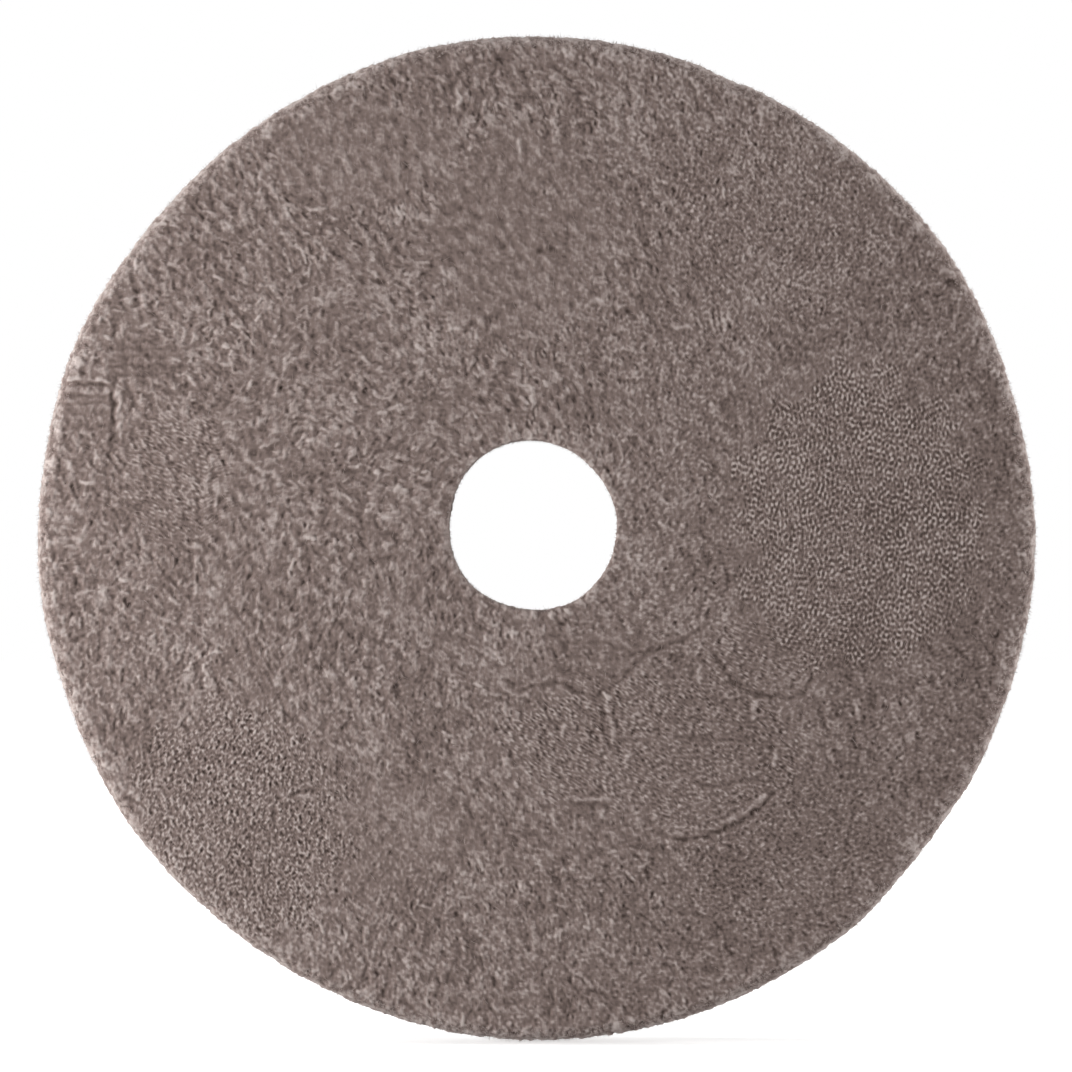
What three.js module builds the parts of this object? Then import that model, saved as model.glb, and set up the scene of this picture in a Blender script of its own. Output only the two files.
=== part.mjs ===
// Felt polishing wheel for a lapidary arbor: pressed-felt plies laid up on thin films of flexible
// glue, then cut round and bored. Millimetres, +Z up. The wheel stands upright with its axis along Y,
// its front face looks along -Y, and the origin is the middle of its bore.
import * as THREE from 'three';

// Driving dimensions.
const WHEEL_DIAMETER = 152.4;
const BORE_DIAMETER = 25.4;
const WHEEL_THICKNESS = 12.7;
const FILM_THICKNESS = 0.2;
const FILM_SETBACK = 2; // the glue stops this far short of the rim and of the bore, so both stay soft
const RIM_ROUND = 1.8; // radius of the soft shoulder on the rim's two outer corners
const BORE_ROUND = 0.6; // radius of the same shoulder at the two mouths of the bore
const ROUND_STEPS = 4; // flats in each shoulder
const TURN_STEPS = 96; // flats round the wheel

// Lay-up, from the front face to the back face.
const PLY_NAMES = ['felt_ply_front', 'felt_ply_second', 'felt_ply_third', 'felt_ply_back'];
const FILM_NAMES = ['bond_film_front', 'bond_film_middle', 'bond_film_back'];

const RIM_RADIUS = WHEEL_DIAMETER / 2;
const BORE_RADIUS = BORE_DIAMETER / 2;
const PLY_THICKNESS = (WHEEL_THICKNESS - FILM_NAMES.length * FILM_THICKNESS) / PLY_NAMES.length;

// Grey-brown wool felt: matt all over, with no shine.
function feltMaterial() {
  return new THREE.MeshStandardMaterial({ color: 0x7c6e69, roughness: 0.97, metalness: 0 });
}

// Dried flexible glue: a honey-brown film with a dull shine.
function glueMaterial() {
  return new THREE.MeshStandardMaterial({ color: 0x8a6b3f, roughness: 0.45, metalness: 0 });
}

// One corner of a ply's section, at (radius, y), as points that run anticlockwise. The corner
// points away from (inwardRadius, inwardY), and a corner with no round is a single point.
function corner(radius, y, round, inwardRadius, inwardY) {
  if (round === 0) {
    return [new THREE.Vector2(radius, y)];
  }
  const centre = new THREE.Vector2(radius + round * inwardRadius, y + round * inwardY);
  const middle = Math.atan2(-inwardY, -inwardRadius);
  return Array.from({ length: ROUND_STEPS + 1 }, (_, step) => {
    const angle = middle + (step / ROUND_STEPS - 0.5) * (Math.PI / 2);
    return new THREE.Vector2(centre.x + round * Math.cos(angle), centre.y + round * Math.sin(angle));
  });
}

// A flat ring round the Y axis. near and far are its two faces, and each face's two corners may be rounded.
function ring(innerRadius, outerRadius, near, far, nearRounded = false, farRounded = false) {
  const section = [
    ...corner(outerRadius, near, nearRounded ? RIM_ROUND : 0, -1, 1),
    ...corner(outerRadius, far, farRounded ? RIM_ROUND : 0, -1, -1),
    ...corner(innerRadius, far, farRounded ? BORE_ROUND : 0, 1, -1),
    ...corner(innerRadius, near, nearRounded ? BORE_ROUND : 0, 1, 1),
  ];
  return new THREE.LatheGeometry([...section, section[0].clone()], TURN_STEPS);
}

// Only the wheel's two outside faces are rounded at their edges; the faces inside the lay-up are flat.
function ply(index, near, far) {
  const first = index === 0;
  const last = index === PLY_NAMES.length - 1;
  const mesh = new THREE.Mesh(ring(BORE_RADIUS, RIM_RADIUS, near, far, first, last), feltMaterial());
  mesh.name = PLY_NAMES[index];
  return mesh;
}

function film(index, near, far) {
  const geometry = ring(BORE_RADIUS + FILM_SETBACK, RIM_RADIUS - FILM_SETBACK, near, far);
  const mesh = new THREE.Mesh(geometry, glueMaterial());
  mesh.name = FILM_NAMES[index];
  return mesh;
}

// Plies and films alternate along +Y, and each starts on the plane where the one before it ends.
function wheel() {
  const group = new THREE.Group();
  let near = -WHEEL_THICKNESS / 2;
  PLY_NAMES.forEach((_, index) => {
    const behindPly = near + PLY_THICKNESS;
    group.add(ply(index, near, behindPly));
    if (index < FILM_NAMES.length) {
      group.add(film(index, behindPly, behindPly + FILM_THICKNESS));
    }
    near = behindPly + FILM_THICKNESS;
  });
  return group;
}

export default wheel();
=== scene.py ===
"""Looks of the felt polishing wheel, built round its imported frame: four plies of matted felt as dense,
slightly irregular meshes, the glue films between them, loose fibres, materials, light and camera."""
import math

import bpy
import numpy as np
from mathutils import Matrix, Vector


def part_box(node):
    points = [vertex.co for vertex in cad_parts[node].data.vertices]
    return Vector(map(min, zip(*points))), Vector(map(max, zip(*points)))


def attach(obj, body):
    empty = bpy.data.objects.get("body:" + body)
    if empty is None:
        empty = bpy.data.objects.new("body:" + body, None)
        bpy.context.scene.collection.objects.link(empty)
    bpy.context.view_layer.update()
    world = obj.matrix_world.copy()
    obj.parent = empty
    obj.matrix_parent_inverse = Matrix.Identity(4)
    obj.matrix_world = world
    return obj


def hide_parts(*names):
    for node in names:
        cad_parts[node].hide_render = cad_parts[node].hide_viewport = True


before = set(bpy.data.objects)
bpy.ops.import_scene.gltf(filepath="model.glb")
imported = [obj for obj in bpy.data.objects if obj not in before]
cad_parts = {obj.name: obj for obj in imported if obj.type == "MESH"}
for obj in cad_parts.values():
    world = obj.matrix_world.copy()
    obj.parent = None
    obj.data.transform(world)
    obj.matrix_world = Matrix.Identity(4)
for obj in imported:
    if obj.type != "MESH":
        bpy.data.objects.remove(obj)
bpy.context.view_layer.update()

MM = 0.001
BODY = "root"

# ---------------------------------------------------------------- sizes, all from the frame
PLIES = ("felt_ply_front", "felt_ply_second", "felt_ply_third", "felt_ply_back")
FILMS = ("bond_film_front", "bond_film_middle", "bond_film_back")


def inner_radius(node):
    """A ring node's bore radius: how near its points come to the Y axis."""
    return min(math.hypot(v.co.x, v.co.z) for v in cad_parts[node].data.vertices)


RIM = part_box("felt_ply_front")[1].x
BORE = inner_radius("felt_ply_front")
FRONT_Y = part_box("felt_ply_front")[0].y
BACK_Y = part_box("felt_ply_back")[1].y
FILM_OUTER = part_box("bond_film_front")[1].x

RIM_ROUND = 2.3 * MM  # soft shoulder on the two outer corners
BORE_ROUND = 0.6 * MM  # soft lip at the two mouths of the bore
SEAM_ROUND = 0.25 * MM  # corner of a ply where it meets the next one
FINE_STEP = 0.22 * MM  # between points on felt that shows
COARSE_STEP = 9 * MM  # between points on felt that is glued and hidden
BORE_SPOKES = 540  # points round the bore; doubled each time the radius doubles

# ---------------------------------------------------------------- noise
FIELD = 180 * MM  # side of the square that one noise field covers before it repeats
CELLS = 2048
CELL = FIELD / CELLS


def band_filter(wavelength, spread, stretch=1.0, turn=0.0):
    """Which frequencies a noise keeps: those near one wavelength, stretched along turn, in degrees."""
    up = np.fft.fftfreq(CELLS, CELL)[:, None]
    across = np.fft.rfftfreq(CELLS, CELL)[None, :]
    c, s = math.cos(math.radians(turn)), math.sin(math.radians(turn))
    frequency = np.hypot((across * c + up * s) * stretch, (up * c - across * s) / stretch)
    frequency[0, 0] = 1e-9  # so that it has a logarithm
    return np.exp(-0.5 * (np.log(frequency * wavelength) / spread) ** 2).astype(np.float32)


def spectrum(rng):
    """The transform of plain white noise, which band_filter then thins out."""
    return np.fft.rfft2(rng.standard_normal((CELLS, CELLS), dtype=np.float32))


def shaped(white, kept):
    """A noise grid of unit variance, indexed [z cell, x cell]."""
    grid = np.fft.irfft2(white * kept, s=(CELLS, CELLS)).astype(np.float32)
    return grid / grid.std()


def band_noise(rng, wavelength, spread=0.4, stretch=1.0, turn=0.0):
    return shaped(spectrum(rng), band_filter(wavelength, spread, stretch, turn))


def low_pass(radius):
    """A function that blurs a grid by a Gaussian of this radius."""
    up = np.fft.fftfreq(CELLS, CELL)[:, None]
    across = np.fft.rfftfreq(CELLS, CELL)[None, :]
    kept = np.exp(-2 * (math.pi * radius) ** 2 * (up**2 + across**2)).astype(np.float32)
    return lambda grid: np.fft.irfft2(np.fft.rfft2(grid) * kept, s=(CELLS, CELLS)).astype(np.float32)


def sample(grid, x, z):
    """The grid's value at points (x, z), between cells, repeating past its edges."""
    u, v = x / CELL, z / CELL
    i, j = np.floor(u).astype(int), np.floor(v).astype(int)
    fu, fv = (u - i).astype(np.float32), (v - j).astype(np.float32)
    i0, i1, j0, j1 = i % CELLS, (i + 1) % CELLS, j % CELLS, (j + 1) % CELLS
    low = grid[j0, i0] * (1 - fu) + grid[j0, i1] * fu
    high = grid[j1, i0] * (1 - fu) + grid[j1, i1] * fu
    return low * (1 - fv) + high * fv


def smooth(low, high, value):
    """0 below low, 1 above high, and a smooth rise between."""
    t = np.clip((value - low) / (high - low), 0, 1)
    return t * t * (3 - 2 * t)


def grid_places():
    """x and z of every cell, with the wheel's axis at the grid's corner, as sample() reads it."""
    line = (np.arange(CELLS, dtype=np.float32) * CELL + FIELD / 2) % FIELD - FIELD / 2
    return line[None, :], line[:, None]


# ---------------------------------------------------------------- what the felt faces look like
# The bore was punched a little high and left, so the rim's middle is this far from the wheel's axis.
RIM_OFF_CENTRE = Vector((0.55 * MM, 0, -1.83 * MM))

LAID_FIBRES = 90000  # tufts of fibre on one field
TUFT_LENGTH = 1.5 * MM
TUFT_WIDTH = 0.41 * MM
TUFT_LEAN = -55  # degrees from the x axis that most tufts lie along
TUFT_STRAY = 0.55  # radians by which a tuft strays from the lean round it
TUFT_CURL = 0.7  # radians by which it bends from end to end
TUFT_STEPS = 44  # points along a tuft
TUFT_ROWS = 8  # points across it
TUFT_DOME = 0.35  # height of its rounded top, where the mat is 1 deep
TUFT_LAYERS = 12  # the lowest tufts are laid first
TUFT_SOFTNESS = 0.06 * MM  # blur that takes the cells' steps off the tufts
MAT_DEPTH = 0.22 * MM  # from the lowest tuft to the highest
LUMP_HEIGHT = 0.045 * MM
CRISP_HEIGHT = 0.060 * MM
PITS = 700
PIT_REACH = 14  # cells round its middle that a pit changes
PIT_DEPTH = 0.14 * MM
# Painted shade that darkens a pit, in tone.
PIT_SHADE = 2.2


def laid_fibres(rng, lean):
    """(height, tone) grids of short tufts of fibre laid over one another, each 0 to about 1.3 high. The tone
    holds painted shade in the gaps and on the lower tufts, and a painted highlight along each tuft's crown.
    lean is a grid of the angle that tufts lie along, in radians."""
    height = np.zeros(CELLS * CELLS, np.float32)
    # Cells that no tuft covers start dark: painted shade in the gaps between tufts.
    tone = np.full(CELLS * CELLS, -1.2, np.float32)
    along = np.linspace(-0.5, 0.5, TUFT_STEPS, dtype=np.float32)
    across = np.linspace(-0.5, 0.5, TUFT_ROWS, dtype=np.float32)
    dome = (np.sqrt(1 - (1.9 * across) ** 2) * TUFT_DOME)[None, None, :]
    ends = (1 - (2 * along) ** 6)[None, :, None]
    levels = np.sort(rng.uniform(0, 1, LAID_FIBRES)).astype(np.float32)
    for layer in np.array_split(levels, TUFT_LAYERS):
        many = len(layer)
        x, z = rng.uniform(0, FIELD, (2, many)).astype(np.float32)
        long = TUFT_LENGTH * rng.uniform(0.5, 1.5, many).astype(np.float32)
        wide = TUFT_WIDTH * rng.uniform(0.7, 1.3, many).astype(np.float32)
        turn = sample(lean, x, z) + rng.normal(0, TUFT_STRAY, many)
        turn = (turn[:, None] + rng.normal(0, TUFT_CURL, many)[:, None] * along).astype(np.float32)
        step = (long / len(along))[:, None]
        middle_x = x[:, None] + np.cumsum(np.cos(turn) * step, 1)
        middle_z = z[:, None] + np.cumsum(np.sin(turn) * step, 1)
        point_x = middle_x[:, :, None] - np.sin(turn)[:, :, None] * across * wide[:, None, None]
        point_z = middle_z[:, :, None] + np.cos(turn)[:, :, None] * across * wide[:, None, None]
        row = np.floor(point_z / CELL).astype(int) % CELLS
        place = row * CELLS + np.floor(point_x / CELL).astype(int) % CELLS
        height[place] = (layer[:, None, None] + dome) * ends
        # Lower tufts are darker, as painted shade under the upper ones, over each tuft's own random tone.
        # Each tuft's crown is paler than its sides, as a painted highlight.
        shade = 1.1 * (layer - 0.62) + rng.normal(0, 0.55, many)
        tone[place] = shade[:, None, None] + 0.9 * (dome - 0.2)
    soften = low_pass(TUFT_SOFTNESS)
    return soften(height.reshape(CELLS, CELLS)), soften(tone.reshape(CELLS, CELLS))


def pits(rng):
    """(height, tone) grids of small pinched holes, about 0.5 to 1 mm across, each darkened with painted
    shade.
    """
    dip = np.zeros((CELLS, CELLS), np.float32)
    line = np.arange(-PIT_REACH, PIT_REACH + 1)
    for _ in range(PITS):
        i, j = rng.integers(0, CELLS, 2)
        radius = rng.uniform(0.22, 0.48) * MM / CELL
        squeeze, turn = rng.uniform(0.6, 1.0), rng.uniform(0, math.pi)
        u = line[None, :] * math.cos(turn) + line[:, None] * math.sin(turn)
        v = (line[:, None] * math.cos(turn) - line[None, :] * math.sin(turn)) / squeeze
        rows, columns = (i + line) % CELLS, (j + line) % CELLS
        dip[np.ix_(rows, columns)] += rng.uniform(0.4, 1) * np.exp(-(u**2 + v**2) / radius**2)
    return -PIT_DEPTH * dip, -PIT_SHADE * dip


def patch(x, z, centre, half, ragged):
    """1 inside an ellipse, 0 outside, with a soft, ragged edge."""
    away = np.hypot((x - centre[0]) / half[0], (z - centre[1]) / half[1])
    return 1 - smooth(0.8, 1.1, away + 0.07 * ragged)


# Areas of the front face where the nap lies differently: centre, from the middle of the rim, and half size.
BEADED_PATCH = ((49 * MM, 3 * MM), (20 * MM, 24 * MM))  # tight, even grain of little beads
CRISP_PATCHES = (  # fine, salt-and-pepper grain, and how strong it is
    (1.0, (-45 * MM, -44 * MM), (18 * MM, 20 * MM)),
    (0.5, (37 * MM, 48 * MM), (17 * MM, 17 * MM)),
    (0.5, (38 * MM, -48 * MM), (18 * MM, 14 * MM)),
)
RUBBED_PATCHES = (  # matted down smooth
    ((-26 * MM, 59 * MM), (15 * MM, 9 * MM)),
    ((-2 * MM, 47 * MM), (14 * MM, 16 * MM)),
    ((-22 * MM, -45 * MM), (13 * MM, 9 * MM)),
)
COMBED_PATCHES = (  # fine parallel strokes
    ((18 * MM, -31 * MM), (25 * MM, 11 * MM)),
    ((34 * MM, -19 * MM), (10 * MM, 7 * MM)),
    ((-54 * MM, 9 * MM), (9 * MM, 11 * MM)),
)
LEVEL_PATCH = ((-28 * MM, 15 * MM), (22 * MM, 14 * MM))  # tufts lie level here
UPRIGHT_PATCH = ((-35 * MM, -13 * MM), (20 * MM, 16 * MM))  # and nearly upright here


def front_face(rng):
    """(height in metres, tone, beaded) grids of the front face."""
    x, z = grid_places()
    ragged = band_noise(rng, 9 * MM)
    level = patch(x, z, *LEVEL_PATCH, ragged)
    upright = patch(x, z, *UPRIGHT_PATCH, ragged)
    lean = math.radians(TUFT_LEAN) + 0.55 * band_noise(rng, 18 * MM, 0.5)
    lean = lean + math.radians(60) * level - math.radians(20) * upright
    mat, tuft_tone_and_shade = laid_fibres(rng, lean)
    lumps = band_noise(rng, 2.9 * MM, 0.35, 1.25, TUFT_LEAN)
    crisp = band_noise(rng, 1.0 * MM, 0.6)
    beaded = patch(x, z, *BEADED_PATCH, ragged)
    salted = np.clip(sum(share * patch(x, z, *place, ragged) for share, *place in CRISP_PATCHES), 0, 1)
    rubbed = np.clip(sum(patch(x, z, *place, ragged) for place in RUBBED_PATCHES), 0, 1)
    combed = np.clip(sum(patch(x, z, *place, ragged) for place in COMBED_PATCHES), 0, 1)
    strokes = band_noise(rng, 0.85 * MM, 0.25, 1.7, -32)
    fine = band_noise(rng, 0.98 * MM, 0.4)
    beads = band_noise(rng, 0.80 * MM, 0.18, 1.15, 95)
    # The grain is finer to the right and below.
    tight = np.maximum(smooth(-8 * MM, 26 * MM, x), 0.6 * smooth(0, 25 * MM, -z))
    matted = 1 - 0.85 * beaded - 0.65 * salted - 0.6 * rubbed - 0.45 * combed
    matted = matted * (1 - 0.2 * tight)
    height = MAT_DEPTH * matted * (mat - mat.mean())
    height += LUMP_HEIGHT * (1 - 0.6 * beaded - 0.4 * salted + 0.3 * rubbed) * lumps
    height += CRISP_HEIGHT * (salted * crisp + 0.4 * beaded * beads)
    height += MM * (1 - beaded) * (0.022 * fine + 0.045 * combed * strokes)
    holes, hole_shade = pits(rng)
    height += holes * (1 - 0.7 * beaded)
    # Lumps, tufts, crisp grain, strokes, beads and fine grain feed both height and tone, so raised felt is
    # paler and hollows darker: partly grain tone, partly painted highlight and shade.
    tone = matted * (1.1 * tuft_tone_and_shade + 0.25) + (0.4 - 0.15 * tight) * lumps
    tone += 1.3 * salted * crisp + 0.85 * combed * strokes + 1.65 * beaded * beads
    tone += (1 - beaded) * (0.3 + 0.4 * tight) * fine + (1 - 0.7 * beaded) * hole_shade
    tone += 0.2 * band_noise(rng, 1.6 * MM, 0.5) + 0.18 * band_noise(rng, 20 * MM, 0.6)
    # Painted shade: the face is a little darker to the right and below, away from the key softbox.
    tone -= 0.45 * smooth(10 * MM, 60 * MM, 0.9 * x - 0.45 * z)
    return height, tone, beaded


def back_face(rng):
    """The same grids for the back face, which has no marked patches."""
    lean = math.radians(TUFT_LEAN) + 0.9 * band_noise(rng, 18 * MM, 0.5)
    mat, tuft_tone_and_shade = laid_fibres(rng, lean)
    lumps = band_noise(rng, 2.9 * MM, 0.35)
    holes, hole_shade = pits(rng)
    height = MAT_DEPTH * (mat - mat.mean()) + LUMP_HEIGHT * lumps + holes
    # Lumps are paler where they rise, and tufts and pits carry painted shade and highlight, as on the front
    # face.
    tone = 1.1 * tuft_tone_and_shade + 0.25 + 0.35 * lumps + hole_shade + 0.2 * band_noise(rng, 20 * MM, 0.6)
    return height, tone, 0 * height


def cut_edge(rng):
    """(height, tone) grids of a cut edge, x along the cut and z across the plies."""
    layers = band_noise(rng, 0.8 * MM, 0.35, 2.0, 0)
    lumps = band_noise(rng, 3.0 * MM, 0.8)
    mixed = band_noise(rng, 1.4 * MM, 0.6, 1.4, 0)
    return MM * (0.04 * layers + 0.04 * lumps), 0.6 * layers + 0.3 * lumps + 0.6 * mixed


# ---------------------------------------------------------------- marks in the front face
# All marks are (x, z) in millimetres from the middle of the rim, as seen from the front.
GROOVES = (  # creases, painted dark along the line and a little paler beside it, as painted shade and highlight: (depth, points)
    (
        0.9,
        (
            *((-2.5, -23.3), (3.6, -22.1), (6.8, -23.6), (9.4, -23.9)),
            *((12.1, -22.4), (16.8, -17.9), (23.2, -15.2)),
        ),
    ),
    (0.8, ((23.2, -15.2), (25.6, -13.5), (26.4, -11.1))),
    (0.7, ((11, -16), (15, -17.5), (17.3, -17.2), (19.4, -16.4))),
    (0.5, ((3.6, -16.4), (7.4, -15.6), (11.5, -16.4), (12.4, -19.5), (11.5, -22.2))),
    (
        1.0,
        ((26.9, -17), (28.6, -20.2), (32.2, -23.3), (35.4, -23.9), (38.6, -24.3), (40.8, -23.3), (42.1, -21)),
    ),
    (1.15, ((21.1, -45.7), (24.3, -45.7), (28.6, -44.3), (32.2, -42.5), (35.4, -39.8), (36.2, -38.8))),
    (0.8, ((23.7, -37.1), (27.5, -37.8), (31.2, -36.8), (33.3, -36.6), (36.2, -38.8))),
    (0.5, ((12.6, -30.7), (17.3, -31))),
    (0.4, ((21.1, -30.4), (32.2, -30.7))),
    (0.6, ((3.6, -40.4), (11, -40.8))),
    (1.2, ((-71.6, 23.7), (-68, 23.5), (-64.7, 23.1))),
    (0.6, ((-72, 21.7), (-65.5, 21.6))),
    (0.6, ((-71.8, 20.4), (-64, 20.6))),
    (0.5, ((-71, 19.2), (-66, 19.4))),
    (0.6, ((-72, 16.8), (-66, 16.9))),
    (0.6, ((-65.5, 29), (-53, 28.8))),
    (0.5, ((-64, 27.6), (-54, 27.8))),
    (0.7, ((-65, 26.2), (-53.5, 26.1))),
    (0.5, ((-64, 24.9), (-56, 25.1))),
    (0.9, ((-64.7, 22), (-64.4, 18), (-64.8, 14.4))),
    (0.7, ((-62.8, 30.6), (-62.6, 25.1))),
    (0.9, ((-36.7, -39.1), (-35.3, -38.5), (-33.5, -38.5))),
    (0.8, ((-39.9, -41.6), (-39.7, -43.9))),
)
RIDGES = (  # raised strokes, painted pale on top and darker beside it, as painted highlight and shade: (height, points)
    (1.3, ((10.7, -23.9), (11.1, -26.5))),
    (0.9, ((11.3, -27.5), (11.9, -30.7))),
    (0.9, ((24.8, -19.2), (25, -22.2))),
    (0.8, ((23.6, -28.1), (23.5, -29.7))),
    (1.0, ((33.3, -24.9), (33.1, -27.5))),
    (1.0, ((48.7, -24.6), (49, -27.5))),
    (1.1, ((36.5, -32.4), (36.4, -34.3))),
    (1.0, ((4.3, -28.6), (4.1, -30.3))),
    (0.8, ((6.2, -39.8), (11, -39.8))),
    (0.8, ((28.3, -43.4), (31.8, -41.6), (34.8, -39.2))),
    (0.9, ((-71.5, 24.3), (-65, 24))),
    (0.8, ((-63.6, 22.5), (-63.4, 15.3))),
    (0.7, ((-69.9, 27.1), (-69.8, 24.3))),
    (0.7, ((-68.1, 26.6), (-68, 24.2))),
    (1.2, ((-69.3, 8.3), (-67.3, 8.4))),
    (1.1, ((-53.3, -1.2), (-50.9, -1.5))),
    (1.1, ((-48.6, 8.3), (-48.7, 5.2))),
    (0.7, ((-37.3, -40), (-35.6, -39.6), (-33.5, -39.6))),
    (0.7, ((-26, -59.4), (-25.8, -61.4))),
    (0.6, ((-21.1, 58.3), (-20.9, 53))),
    (0.9, ((-2.5, 60.6), (-2.3, 57.6))),
    (1.0, ((-11.7, 69.8), (-11.6, 65.2))),
    (0.5, ((32.5, 40.3), (36, 44.3))),
    (0.9, ((21.1, 32.1), (23.7, 32.1))),
    (0.8, ((8.5, 36.5), (12, 35.2), (15, 35.4))),
)
MARK_WIDTH = 0.36 * MM
MARK_REACH = 3 * MM  # beyond this a mark has no effect
MARK_WAVER = 0.16 * MM
# What a mark of strength 1 adds: (height on its line, height beside it, tone on its line, tone beside it).
# The tones are painted shade and highlight.
GROOVE = (-0.15 * MM, 0.03 * MM, -2.0, 0.4)
RIDGE = (0.12 * MM, -0.03 * MM, 2.0, -0.7)


def curve_points(points, per_span=8):
    """A smooth curve through a few points, as many short steps."""
    p = [Vector(points[0])] + [Vector(q) for q in points] + [Vector(points[-1])]
    steps = []
    for a, b, c, d in zip(p, p[1:], p[2:], p[3:]):
        for k in range(per_span):
            t = k / per_span
            bend = (c - a) * t + (2 * a - 5 * b + 4 * c - d) * t**2 + (3 * b - a - 3 * c + d) * t**3
            steps.append(0.5 * (2 * b + bend))
    return np.array(steps + [p[-1]])


def distance_to(curve, x, z):
    """How far each point (x, z) is from a curve of short steps."""
    nearest = np.full(x.shape, 1.0)
    for (ax, az), (bx, bz) in zip(curve, curve[1:]):
        dx, dz = bx - ax, bz - az
        t = np.clip(((x - ax) * dx + (z - az) * dz) / (dx * dx + dz * dz), 0, 1)
        nearest = np.minimum(nearest, np.hypot(x - ax - t * dx, z - az - t * dz))
    return nearest


def bell(distance, width):
    """1 at no distance, and nearly 0 two widths away."""
    return np.exp(-((distance / width) ** 2))


def press_marks(rng, height, tone):
    """Adds the grooves and ridges to the front face's grids, each a little wavy and of uneven strength, with
    their painted shade and highlight in the tone.
    """
    waver_x = MARK_WAVER * band_noise(rng, 2.5 * MM)
    waver_z = MARK_WAVER * band_noise(rng, 2.5 * MM)
    uneven = np.clip(1 + 0.3 * band_noise(rng, 2.2 * MM), 0.3, 1.5)
    for marks, (rise, rise_beside, shade, shade_beside) in ((GROOVES, GROOVE), (RIDGES, RIDGE)):
        for strength, points in marks:
            curve = curve_points([(a * MM, b * MM) for a, b in points])
            low, high = curve.min(0) - MARK_REACH, curve.max(0) + MARK_REACH
            columns = np.arange(math.floor(low[0] / CELL), math.ceil(high[0] / CELL))
            rows = np.arange(math.floor(low[1] / CELL), math.ceil(high[1] / CELL))
            here = np.ix_(rows % CELLS, columns % CELLS)
            x = (columns * CELL)[None, :] + waver_x[here]
            z = (rows * CELL)[:, None] + waver_z[here]
            away = distance_to(curve, x, z)
            on_line = bell(away, MARK_WIDTH) * uneven[here] * strength
            beside = bell(away - 2.2 * MARK_WIDTH, MARK_WIDTH) * uneven[here] * strength
            calm = 1 - 0.45 * bell(away, 1.8 * MARK_WIDTH)
            height[here] = calm * height[here] + rise * on_line + rise_beside * beside
            tone[here] = calm * tone[here] + shade * on_line + shade_beside * beside


# ---------------------------------------------------------------- outline of the cut wheel
# A hand-cut outline isn't quite round: (how far it wanders, most lobes, seed of their directions).
RIM_CUT = (0.5 * MM, 14, 16)
BORE_CUT = (0.3 * MM, 5, 15)
# Straight knife cuts across the rim: (middle in degrees, half width in degrees, depth).
RIM_FLATS = ((-39.5, 11, 0.6 * MM), (67.5, 3.5, 0.3 * MM))
BORE_SOFTENED = 0.24 * MM  # felt at the bore has been pressed back this far
BORE_FLARE = 0.38 * MM  # the punch spread the bore this much more at the back
JAGGED = 0.07 * MM  # unevenness of the cut rim, root mean square


def lobes(angle, wander, most, seed):
    """How far an outline wanders out: waves of 2 lobes, 3 lobes and so on, each smaller than the last."""
    turns = np.random.default_rng(seed).uniform(0, 2 * math.pi, most - 1)
    waves = zip(range(2, most + 1), turns)
    return sum(wander / count * np.cos(count * angle - turn) for count, turn in waves)


def flat_cut(angle, centre, half_width, depth):
    """How far a straight knife cut takes the rim in, round an angle in degrees."""
    off = np.degrees(np.angle(np.exp(1j * (angle - math.radians(centre)))))
    return -depth * (1 - smooth(0.25, 1.0, np.abs(off) / half_width))


def rim_offset(angle):
    return lobes(angle, *RIM_CUT) + sum(flat_cut(angle, *flat) for flat in RIM_FLATS)


def rim_bottom():
    """Height of the rim's lowest point."""
    angle = np.linspace(0, 2 * math.pi, 3600)
    return float(((RIM + rim_offset(angle)) * np.sin(angle)).min()) + RIM_OFF_CENTRE.z


def bore_offset(angle, y):
    flare = BORE_FLARE * (y - FRONT_Y) / (BACK_Y - FRONT_Y)
    return BORE_SOFTENED + flare + lobes(angle, *BORE_CUT)


# ---------------------------------------------------------------- ply meshes
def outline(corners):
    """Points round a section of square corners: rows of (radius, y, normal r, normal y, shows).
    Each corner is (radius, y, round, step, shows), where step and shows are for the side after it."""
    rows = []
    for k, (r, y, bend, step, shows) in enumerate(corners):
        before, after = corners[k - 1], corners[(k + 1) % len(corners)]
        into = np.sign([r - before[0], y - before[1]])
        onward = np.sign([after[0] - r, after[1] - y])
        here = np.array([r, y])
        normal_in, normal_on = np.array([into[1], -into[0]]), np.array([onward[1], -onward[0]])
        if bend:
            centre = here - into * bend + onward * bend
            count = max(4, round(bend * math.pi / 2 / FINE_STEP))
            for t in np.linspace(0, math.pi / 2, count, endpoint=False):
                normal = normal_in * math.cos(t) + normal_on * math.sin(t)
                rows.append((*(centre + normal * bend), *normal, 1.0))
        else:
            rows.append((*here, *normal_on, shows))
        start = here + onward * bend
        stop = np.array(after[:2]) - onward * after[2]
        length = np.abs(stop - start).sum()
        count = max(1, round(length / step))
        first = 0 if bend else 1
        for n in range(first, count):
            rows.append((*(start + (stop - start) * n / count), *normal_on, shows))
    return np.array(rows)


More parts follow.
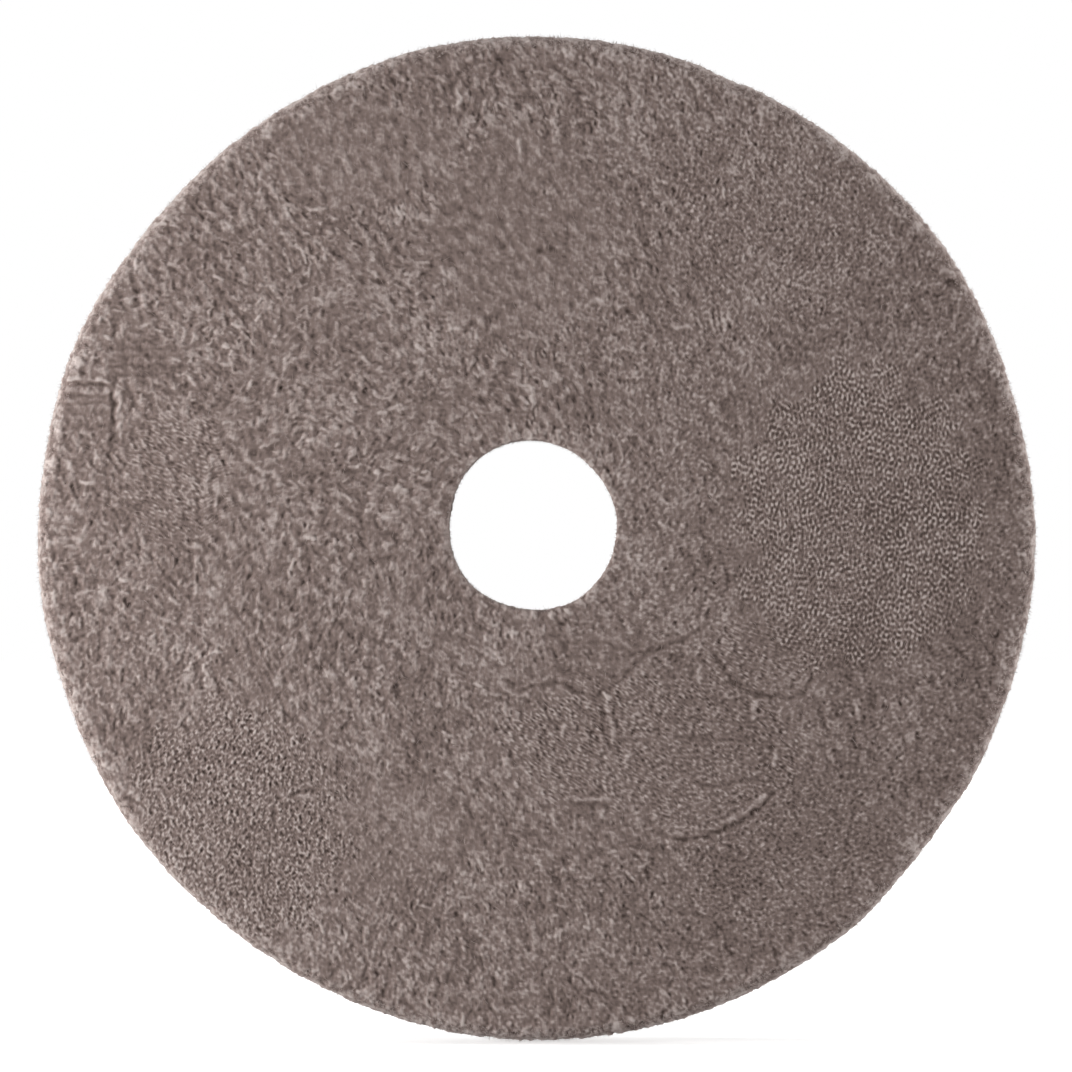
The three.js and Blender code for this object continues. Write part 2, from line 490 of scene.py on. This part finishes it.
def ply_section(near, far, near_open, far_open):
    """A ply's corners in (radius, y), anticlockwise. An open side is a face of the wheel. A closed side is
    glued: it lies on its film, and near the film's edges it comes out to meet the next ply."""
    land = SEAM_ROUND + (RIM - FILM_OUTER) / 2
    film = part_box(FILMS[0])[1].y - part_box(FILMS[0])[0].y

    def side(y, outward, is_open):
        """Corners of one side from the bore outwards."""
        if is_open:
            return [(BORE, y, BORE_ROUND, FINE_STEP, 1.0), (RIM, y, RIM_ROUND, FINE_STEP, 1.0)]
        meet = y + outward * film / 2
        return [
            (BORE, meet, SEAM_ROUND, FINE_STEP, 0.0),
            (BORE + land, meet, 0, film / 2, 0.0),
            (BORE + land, y, 0, COARSE_STEP, 0.0),
            (RIM - land, y, 0, film / 2, 0.0),
            (RIM - land, meet, 0, FINE_STEP, 0.0),
            (RIM, meet, SEAM_ROUND, FINE_STEP, 1.0),
        ]

    def turned(corners):
        """The same corners the other way round, with each side's step and visibility kept on that side."""
        back = corners[::-1]
        sides = [c[3:] for c in back[1:]] + [(FINE_STEP, 1.0)]
        return [(*c[:3], *s) for c, s in zip(back, sides)]

    near_side = side(near, -1, near_open)
    return near_side + turned(side(far, 1, far_open))


def spokes(radius):
    """Points round a ring of this radius, doubled as it grows so that they stay about as far apart."""
    return BORE_SPOKES * 2 ** int(math.log2(max(radius / BORE, 1.0) + 1e-6))


def ring_faces(first, count, other_first, other_count):
    """(quads, triangles) joining one ring of points to the next, which has as many, twice or half as many."""
    j = np.arange(min(count, other_count))
    k = (j + 1) % len(j)
    a, b = first, other_first
    if count == other_count:
        return np.stack([a + j, b + j, b + k, a + k], 1), np.zeros((0, 3), int)
    m0, m1, m2 = 2 * j, 2 * j + 1, (2 * j + 2) % (2 * len(j))
    if other_count > count:
        fans = [(a + j, b + m0, b + m1), (a + j, b + m1, a + k), (a + k, b + m1, b + m2)]
    else:
        fans = [(a + m0, b + j, a + m1), (a + m1, b + j, b + k), (a + m1, b + k, a + m2)]
    return np.zeros((0, 4), int), np.concatenate([np.stack(fan, 1) for fan in fans])


def make_mesh(name, points, quads, triangles, attributes):
    """A smooth-shaded mesh object from arrays, with each point's attributes."""
    mesh = bpy.data.meshes.new(name)
    mesh.vertices.add(len(points))
    mesh.vertices.foreach_set("co", points.astype(np.float32).ravel())
    corners = np.concatenate([quads.ravel(), triangles.ravel()])
    starts = np.concatenate([np.arange(len(quads)) * 4, len(quads) * 4 + np.arange(len(triangles)) * 3])
    mesh.loops.add(len(corners))
    mesh.loops.foreach_set("vertex_index", corners.astype(np.int32))
    mesh.polygons.add(len(starts))
    mesh.polygons.foreach_set("loop_start", starts.astype(np.int32))
    mesh.polygons.foreach_set("use_smooth", np.ones(len(starts), bool))
    mesh.update(calc_edges=True)
    for key, values in attributes.items():
        mesh.attributes.new(key, "FLOAT", "POINT").data.foreach_set("value", values.astype(np.float32))
    made = bpy.data.objects.new(name, mesh)
    bpy.context.scene.collection.objects.link(made)
    return made


RIM_PALE_AND_HIGHLIGHT = 0.8  # tone that makes the rim's shoulders paler: partly pale fuzz, partly painted highlight
RIM_FRINGE_AND_HIGHLIGHT = 1.3  # and the cut edge paler still, partly pale fuzz, partly painted highlight
BORE_PALE = 0.55  # tone that makes the felt round the lip of the bore paler
RIM_FIELDS = 3  # noise fields round the rim
BORE_FIELDS = 0.5  # and round the bore
ROW_SHIFT = 40 * MM  # the rim and the bore read rows of a noise field this far apart


def edge_pale_and_highlight(r, y, arc, up, jags):
    """How much paler felt is near the rim, most of all on its two shoulders, and round the bore. At the rim
    it is partly pale fuzz, partly painted highlight.
    """
    shoulder_y = BACK_Y - RIM_ROUND
    shoulder = 0.25 + 0.75 * smooth(shoulder_y - 1.4 * MM, shoulder_y + 0.4 * MM, abs(y))
    patchy = 1 + np.clip(sample(jags, arc + 60 * MM, up), -0.9, 2.5)
    pale = RIM_PALE_AND_HIGHLIGHT * shoulder * patchy * smooth(RIM - 3.9 * MM, RIM - 0.6 * MM, r)
    pale = pale + RIM_FRINGE_AND_HIGHLIGHT * shoulder * smooth(RIM - 0.7 * MM, RIM, r)
    return pale + BORE_PALE * (1 - smooth(BORE + 0.2 * MM, BORE + 2.2 * MM, r))


def ply_ring(row, count, face, edge, jags):
    """One ring of a ply, from a row of outline(): (points, tone, beaded)."""
    r, y, normal_r, normal_y, shows = row
    angle = 2 * math.pi * np.arange(count) / count
    outward = (r - BORE) / (RIM - BORE)  # 0 at the bore, 1 at the rim
    arc = angle / (2 * math.pi) * FIELD * (RIM_FIELDS if outward > 0.5 else BORE_FIELDS)
    up = 0 * arc + y + outward * ROW_SHIFT
    radius = r + rim_offset(angle) * outward**2 + bore_offset(angle, y) * (1 - outward) ** 2
    jag = shows * JAGGED * (outward**8 + 0.5 * (1 - outward) ** 8)
    radius = radius + jag * sample(jags, arc, 0.35 * up)
    x = radius * np.cos(angle) + RIM_OFF_CENTRE.x * outward
    z = radius * np.sin(angle) + RIM_OFF_CENTRE.z * outward
    on_edge, on_face = abs(normal_r), abs(normal_y)
    height = on_edge * sample(edge[0], arc, up)
    tone = on_edge * sample(edge[1], arc, up) + edge_pale_and_highlight(r, y, arc, up, jags)
    beaded = 0 * tone
    if face is not None:
        face_x, face_z = x - RIM_OFF_CENTRE.x, z - RIM_OFF_CENTRE.z
        height = height + on_face * sample(face[0], face_x, face_z)
        tone = tone + on_face * sample(face[1], face_x, face_z)
        beaded = on_face * sample(face[2], face_x, face_z)
    height = height * shows
    out = height * normal_r
    points = np.stack([x + out * np.cos(angle), y + height * normal_y, z + out * np.sin(angle)], 1)
    return points, tone, beaded


def felt_ply(index, face, edge, jags):
    """One ply. face holds the (height, tone, beaded) grids of its open side, or is None, edge holds the grids
    of its cut edges, and jags is the unevenness of the cut."""
    node = PLIES[index]
    near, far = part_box(node)[0].y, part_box(node)[1].y
    rows = outline(ply_section(near, far, index == 0, index == len(PLIES) - 1))
    counts = [spokes(row[0]) for row in rows]
    starts = np.cumsum([0] + counts[:-1])
    rings = list(zip(starts, counts))
    points, tones, beaded = zip(*(ply_ring(row, count, face, edge, jags) for row, count in zip(rows, counts)))
    quads, triangles = zip(*(ring_faces(*a, *b) for a, b in zip(rings, rings[1:] + rings[:1])))
    made = make_mesh(
        "felt_" + node.removeprefix("felt_ply_") + "_sheet",
        np.concatenate(points),
        np.concatenate(quads),
        np.concatenate(triangles),
        {"tone": np.concatenate(tones), "beaded": np.concatenate(beaded)},
    )
    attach(made, BODY)
    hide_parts(node)
    return made


# ---------------------------------------------------------------- loose fibres
FIBRE_SIDES = 3
FIBRE_STEPS = 3
FIBRE_RADIUS = 0.032 * MM  # at the root, of a strand of a few wool fibres
FIBRE_CURL = 0.75
RIM_FIBRES = 34000
BORE_FIBRES = 3500
FACE_FIBRES = 5000  # on each face
EDGE_FIBRE_TONE = 2.7
FACE_FIBRE_TONE = 0.5
SHOULDER_SHARE = 0.35  # this many of the rim's or the bore's fibres keep to its two shoulders
ROOT_DEPTH = 0.10 * MM  # how far into the felt the roots of edge fibres go


def fibre_tubes(name, roots, ways, lengths, pale, rng):
    """Loose fibres as one mesh of thin tubes that bend, and thin out to a tip. ways are their first
    directions, and pale is their mean tone."""
    many = len(roots)
    curl = rng.normal(0, FIBRE_CURL, (many, 3))
    side = np.cross(ways, rng.standard_normal((many, 3)))
    side /= np.linalg.norm(side, axis=1)[:, None]
    here, rings = roots.copy(), []
    for k in range(FIBRE_STEPS + 1):
        t = k / FIBRE_STEPS
        way = ways + curl * t
        way /= np.linalg.norm(way, axis=1)[:, None]
        across = np.cross(way, side)
        radius = FIBRE_RADIUS * (1 - 0.75 * t**1.5)
        for n in range(FIBRE_SIDES):
            turn = 2 * math.pi * n / FIBRE_SIDES
            rings.append(here + radius * (math.cos(turn) * side + math.sin(turn) * across))
        here = here + way * (lengths / FIBRE_STEPS)[:, None]
    per = FIBRE_SIDES * (FIBRE_STEPS + 1)
    points = np.stack(rings, 1).reshape(-1, 3)
    quads = []
    for k in range(FIBRE_STEPS):
        for n in range(FIBRE_SIDES):
            a, b = k * FIBRE_SIDES + n, k * FIBRE_SIDES + (n + 1) % FIBRE_SIDES
            quads.append((a, b, b + FIBRE_SIDES, a + FIBRE_SIDES))
    caps = [(2, 1, 0), (per - 3, per - 2, per - 1)]
    base = (np.arange(many) * per)[:, None, None]
    quads = (base + np.array(quads)[None]).reshape(-1, 4)
    caps = (base + np.array(caps)[None]).reshape(-1, 3)
    tone = np.repeat(rng.normal(pale, 0.8, many), per)
    made = make_mesh(name, points, quads, caps, {"tone": tone, "beaded": 0 * tone})
    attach(made, BODY)
    return made


def edge_fuzz(name, many, at_rim, rng):
    """Fibres that stand off the rim, or off the wall of the bore, thickest at the two shoulders."""
    angle = rng.uniform(0, 2 * math.pi, many)
    round_off = RIM_ROUND if at_rim else BORE_ROUND
    across = rng.uniform(-1, 1, many)
    keeps = rng.uniform(0, 1, many) < SHOULDER_SHARE
    across = np.where(keeps, np.sign(across) * (1 - 0.12 * rng.uniform(0, 1, many)), across)
    half = (BACK_Y - FRONT_Y) / 2
    y = across * half * 0.995
    short = np.clip((np.abs(y) - (half - round_off)) / round_off, 0, 0.98)
    dip = round_off * (1 - np.sqrt(1 - short**2))
    lean_y = np.sign(y) * short
    if at_rim:
        outward = 1.0
        radius = RIM + rim_offset(angle) - dip - ROOT_DEPTH
        centre_x, centre_z = RIM_OFF_CENTRE.x, RIM_OFF_CENTRE.z
    else:
        outward = -1.0
        radius = BORE + bore_offset(angle, y) + dip + ROOT_DEPTH
        centre_x, centre_z = 0.0, 0.0
    cos, sin = np.cos(angle), np.sin(angle)
    roots = np.stack([radius * cos + centre_x, y, radius * sin + centre_z], 1)
    level = outward * np.sqrt(1 - lean_y**2)
    normal = np.stack([level * cos, lean_y, level * sin], 1)
    ways = normal * rng.uniform(0.2, 1.1, many)[:, None] + rng.normal(0, 0.5, (many, 3))
    ways /= np.linalg.norm(ways, axis=1)[:, None]
    lengths = rng.uniform(0.25, 0.85, many) * MM * (1.0 if at_rim else 0.7)
    return fibre_tubes(name, roots, ways, lengths, EDGE_FIBRE_TONE, rng)


def face_fuzz(name, many, y, outward, rng):
    """Fibres that lie nearly flat on a face. outward is -1 on the front face and 1 on the back."""
    radius = np.sqrt(rng.uniform((BORE + MM) ** 2, (RIM - 2.5 * MM) ** 2, many))
    angle = rng.uniform(0, 2 * math.pi, many)
    roots = np.stack([radius * np.cos(angle), 0 * angle + y - outward * 0.03 * MM, radius * np.sin(angle)], 1)
    lie = rng.normal(math.radians(TUFT_LEAN), 0.7, many)
    flip = rng.choice([-1, 1], many)
    ways = np.stack([flip * np.cos(lie), outward * rng.uniform(0.0, 0.25, many), flip * np.sin(lie)], 1)
    ways /= np.linalg.norm(ways, axis=1)[:, None]
    return fibre_tubes(name, roots, ways, rng.uniform(0.6, 1.8, many) * MM, FACE_FIBRE_TONE, rng)


# ---------------------------------------------------------------- materials
FINE_FIBRES = ((15, 2080), (75, 2440), (130, 2240))  # crossed layers: (turn in degrees, scale)
BEAD_LAYERS = ((-14, 2350), (38, 3100))
TONE_SPREAD = 0.178  # how much of the colour ramp one unit of tone spans
BEAD_SPREAD = 0.15
FELT_COLOURS = ((0.0, (0.070, 0.049, 0.042)), (0.5, (0.203, 0.153, 0.138)), (1.0, (0.47, 0.403, 0.378)))
GLUE_COLOURS = ((0.0, (0.16, 0.09, 0.03)), (1.0, (0.36, 0.22, 0.09)))


def new_material(name):
    """An empty node material: (material, node tree, its Principled shader)."""
    material = bpy.data.materials.new(name)
    material.use_nodes = True
    return material, material.node_tree, material.node_tree.nodes["Principled BSDF"]


def math_of(tree, operation, *values):
    """The output of a Math node. Each value is a number or another node's output."""
    node = tree.nodes.new("ShaderNodeMath")
    node.operation = operation
    for socket, value in zip(node.inputs, values):
        if isinstance(value, bpy.types.NodeSocket):
            tree.links.new(value, socket)
        else:
            socket.default_value = value
    return node.outputs[0]


def ranged(tree, value, low, high, to_low, to_high):
    """A value carried from the range low to high over to another range, and kept inside it."""
    node = tree.nodes.new("ShaderNodeMapRange")
    node.inputs["From Min"].default_value = low
    node.inputs["From Max"].default_value = high
    node.inputs["To Min"].default_value = to_low
    node.inputs["To Max"].default_value = to_high
    tree.links.new(value, node.inputs["Value"])
    return node.outputs["Result"]


def attribute_of(tree, name):
    node = tree.nodes.new("ShaderNodeAttribute")
    node.attribute_name = name
    return node.outputs["Fac"]


def noise_of(tree, turn, stretch, scale, detail, roughness=0.5):
    """Noise over the object, turned by degrees about its axes and stretched."""
    place = tree.nodes.new("ShaderNodeTexCoord")
    mapping = tree.nodes.new("ShaderNodeMapping")
    mapping.inputs["Rotation"].default_value = [math.radians(angle) for angle in turn]
    mapping.inputs["Scale"].default_value = stretch
    noise = tree.nodes.new("ShaderNodeTexNoise")
    noise.inputs["Scale"].default_value = scale
    noise.inputs["Detail"].default_value = detail
    noise.inputs["Roughness"].default_value = roughness
    tree.links.new(place.outputs["Object"], mapping.inputs["Vector"])
    tree.links.new(mapping.outputs["Vector"], noise.inputs["Vector"])
    return noise.outputs["Fac"]


def colour_of(tree, value, stops):
    """A colour for a value, between stops of (value, colour)."""
    node = tree.nodes.new("ShaderNodeValToRGB")
    elements = node.color_ramp.elements
    for element, (position, colour) in ((elements[0], stops[0]), (elements[1], stops[-1])):
        element.position = position
        element.color = (*colour, 1)
    for position, colour in stops[1:-1]:
        elements.new(position).color = (*colour, 1)
    tree.links.new(value, node.inputs["Fac"])
    return node.outputs["Color"]


def add_bump(tree, shader, height, strength, distance):
    node = tree.nodes.new("ShaderNodeBump")
    node.inputs["Strength"].default_value = strength
    node.inputs["Distance"].default_value = distance
    tree.links.new(height, node.inputs["Height"])
    tree.links.new(node.outputs["Normal"], shader.inputs["Normal"])


def felt_material():
    """Grey-brown wool: the mesh's tone, which holds painted shade and highlight, crossed fine fibres, and
    little beads where it is beaded. Beads and fibre flecks are painted pale with darker gaps between, partly
    painted highlight and shade.
    """
    material, tree, shader = new_material("matted_felt")
    fibres = [noise_of(tree, (8, turn, 0), (1.0, 0.8, 0.28), scale, 3, 0.6) for turn, scale in FINE_FIBRES]
    crossed = math_of(tree, "MAXIMUM", math_of(tree, "MAXIMUM", fibres[0], fibres[1]), fibres[2])
    beads = [noise_of(tree, (0, turn, 0), (1.0, 0.3, 0.74), scale, 0.3) for turn, scale in BEAD_LAYERS]
    # Beads are colour only, with no bump: pale beads with darker pinholes between, partly grain tone, partly
    # painted highlight and shade.
    bead_pattern_and_shade = ranged(tree, math_of(tree, "ADD", *beads), 0.70, 1.30, -1.5, 1.4)
    bead_tone_and_shade = math_of(tree, "MULTIPLY", attribute_of(tree, "beaded"), bead_pattern_and_shade)
    mesh_tone_and_shade = math_of(tree, "MULTIPLY_ADD", attribute_of(tree, "tone"), TONE_SPREAD, 0.5)
    # Fibre flecks are paler where the fibres' bump rises: partly fibre tone, partly painted highlight.
    flecked = math_of(tree, "ADD", mesh_tone_and_shade, ranged(tree, crossed, 0.45, 0.8, -0.10, 0.12))
    shade = math_of(tree, "MULTIPLY_ADD", bead_tone_and_shade, BEAD_SPREAD, flecked)
    tree.links.new(colour_of(tree, shade, FELT_COLOURS), shader.inputs["Base Color"])
    shader.inputs["Roughness"].default_value = 0.95
    shader.inputs["Specular IOR Level"].default_value = 0.15
    shader.inputs["Sheen Weight"].default_value = 0.14
    shader.inputs["Sheen Roughness"].default_value = 0.6
    shader.inputs["Sheen Tint"].default_value = (0.9, 0.77, 0.72, 1)
    add_bump(tree, shader, crossed, 0.6, 0.06 * MM)
    return material


def glue_material():
    """Dried flexible glue: honey brown, cloudy, a little shiny, with small bubbles."""
    material, tree, shader = new_material("dried_glue")
    cloud = noise_of(tree, (0, 0, 0), (1, 1, 1), 90, 5)
    tree.links.new(colour_of(tree, cloud, GLUE_COLOURS), shader.inputs["Base Color"])
    shader.inputs["Roughness"].default_value = 0.42
    place = tree.nodes.new("ShaderNodeTexCoord")
    bubbles = tree.nodes.new("ShaderNodeTexVoronoi")
    bubbles.inputs["Scale"].default_value = 700
    tree.links.new(place.outputs["Object"], bubbles.inputs["Vector"])
    add_bump(tree, shader, bubbles.outputs["Distance"], 0.5, 0.04 * MM)
    return material


# ---------------------------------------------------------------- stage, light and camera
FLOOR_GAP = 0.6 * MM  # the rim's fuzz holds the felt this far off the floor
FLOOR_Z = rim_bottom() - FLOOR_GAP
CAMERA_DISTANCE = 700 * MM
CAMERA_DOWN = 0.2  # degrees below the wheel's axis
CAMERA_RIGHT = 1.4  # degrees to its right
VIEW_WIDTH = 163.2 * MM  # how much of the wheel's front plane the picture spans
VIEW_SHIFT = (0.07 * MM, 0.27 * MM)  # the picture's middle, from the rim's middle
SENSOR = 36.0
FLOOR_RADIUS = 2.5  # metres
SOFTBOXES = (  # (name, place, the point it faces, (width, height), watts), in metres
    ("key_softbox", (-0.38, -0.18, -0.02), (-0.01, 0, 0), (0.12, 0.10), 2.2),
    ("side_softbox", (0.45, -0.09, -0.025), (0, 0, -0.03), (0.10, 0.10), 1.45),
    ("front_fill", (0.3, -0.9, 0.08), (0, 0, 0), (0.5, 0.3), 0.6),
    ("back_fill", (-0.2, 0.8, 0.25), (0, 0, 0), (0.5, 0.5), 2.4),
    ("overhead", (0.0, -0.02, 0.9), (0, 0, FLOOR_Z), (0.5, 0.5), 5.6),
)


def make_floor():
    """A pale floor that glows a little, more so far away, and casts no light of its own on the wheel."""
    bpy.ops.mesh.primitive_circle_add(
        vertices=96, radius=FLOOR_RADIUS, fill_type="NGON", location=(0, 0, FLOOR_Z)
    )
    floor = bpy.context.object
    floor.name = "floor"
    pale, tree, shader = new_material("pale_floor")
    shader.inputs["Base Color"].default_value = (0.9, 0.9, 0.9, 1)
    shader.inputs["Roughness"].default_value = 0.8
    shader.inputs["Emission Color"].default_value = (1, 1, 1, 1)
    place = tree.nodes.new("ShaderNodeTexCoord")
    length = tree.nodes.new("ShaderNodeVectorMath")
    length.operation = "LENGTH"
    tree.links.new(place.outputs["Object"], length.inputs[0])
    glow = ranged(tree, length.outputs["Value"], 0.2, 1.0, 0.60, 0.95)
    tree.links.new(glow, shader.inputs["Emission Strength"])
    floor.data.materials.append(pale)
    floor.visible_diffuse = False
    floor.visible_glossy = False


def area_light(name, place, aim, size, power):
    """A rectangular softbox, (width, height) in metres, turned to face a point."""
    data = bpy.data.lights.new(name, "AREA")
    data.shape = "RECTANGLE"
    data.size, data.size_y = size
    data.energy = power
    light = bpy.data.objects.new(name, data)
    light.location = place
    light.rotation_mode = "QUATERNION"
    light.rotation_quaternion = (Vector(aim) - Vector(place)).to_track_quat("-Z", "Y")
    bpy.context.scene.collection.objects.link(light)


def make_world():
    """Plain white to the camera. As light, it is stronger from below than from above."""
    world = bpy.data.worlds.new("white_studio")
    world.use_nodes = True
    tree = world.node_tree
    lit = tree.nodes["Background"]
    lit.inputs["Color"].default_value = (1, 1, 1, 1)
    where = tree.nodes.new("ShaderNodeTexCoord")
    upward = tree.nodes.new("ShaderNodeSeparateXYZ")
    tree.links.new(where.outputs["Generated"], upward.inputs[0])
    tree.links.new(ranged(tree, upward.outputs["Z"], -0.3, 0.3, 0.42, 0.05), lit.inputs["Strength"])
    seen = tree.nodes.new("ShaderNodeBackground")
    seen.inputs["Strength"].default_value = 1.0
    seen.inputs["Color"].default_value = (1, 1, 1, 1)
    path = tree.nodes.new("ShaderNodeLightPath")
    mix = tree.nodes.new("ShaderNodeMixShader")
    tree.links.new(path.outputs["Is Camera Ray"], mix.inputs["Fac"])
    tree.links.new(lit.outputs[0], mix.inputs[1])
    tree.links.new(seen.outputs[0], mix.inputs[2])
    tree.links.new(mix.outputs[0], tree.nodes["World Output"].inputs["Surface"])
    bpy.context.scene.world = world


def make_camera():
    aim = Vector((VIEW_SHIFT[0], FRONT_Y, VIEW_SHIFT[1])) + RIM_OFF_CENTRE
    down, right = math.radians(CAMERA_DOWN), math.radians(CAMERA_RIGHT)
    back = Vector((math.sin(right) * math.cos(down), -math.cos(right) * math.cos(down), -math.sin(down)))
    data = bpy.data.cameras.new("camera")
    data.sensor_width = SENSOR
    data.lens = SENSOR * CAMERA_DISTANCE / VIEW_WIDTH
    camera = bpy.data.objects.new("camera", data)
    camera.location = aim + back * CAMERA_DISTANCE
    camera.rotation_mode = "QUATERNION"
    camera.rotation_quaternion = (-back).to_track_quat("-Z", "Y")
    bpy.context.scene.collection.objects.link(camera)
    bpy.context.scene.camera = camera


# ---------------------------------------------------------------- build
SEED = 7


def build():
    rng = np.random.default_rng(SEED)
    edge = cut_edge(rng)
    jags = 0.85 * band_noise(rng, 6.5 * MM, 0.8) + 0.4 * band_noise(rng, 1.5 * MM, 0.8)
    front = front_face(rng)
    press_marks(rng, front[0], front[1])
    faces = {0: front, len(PLIES) - 1: back_face(rng)}
    made = [felt_ply(index, faces.get(index), edge, jags) for index in range(len(PLIES))]
    made.append(edge_fuzz("felt_rim_fuzz", RIM_FIBRES, True, rng))
    made.append(edge_fuzz("felt_bore_fuzz", BORE_FIBRES, False, rng))
    made.append(face_fuzz("felt_front_fuzz", FACE_FIBRES, FRONT_Y, -1, rng))
    made.append(face_fuzz("felt_back_fuzz", FACE_FIBRES, BACK_Y, 1, rng))
    felt = felt_material()
    for piece in made:
        piece.data.materials.append(felt)
    glue = glue_material()
    for name in FILMS:
        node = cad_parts[name]
        node.data.materials.clear()
        node.data.materials.append(glue)
    make_floor()
    for softbox in SOFTBOXES:
        area_light(*softbox)
    make_world()
    make_camera()
    bpy.context.scene.view_settings.view_transform = "Standard"


build()
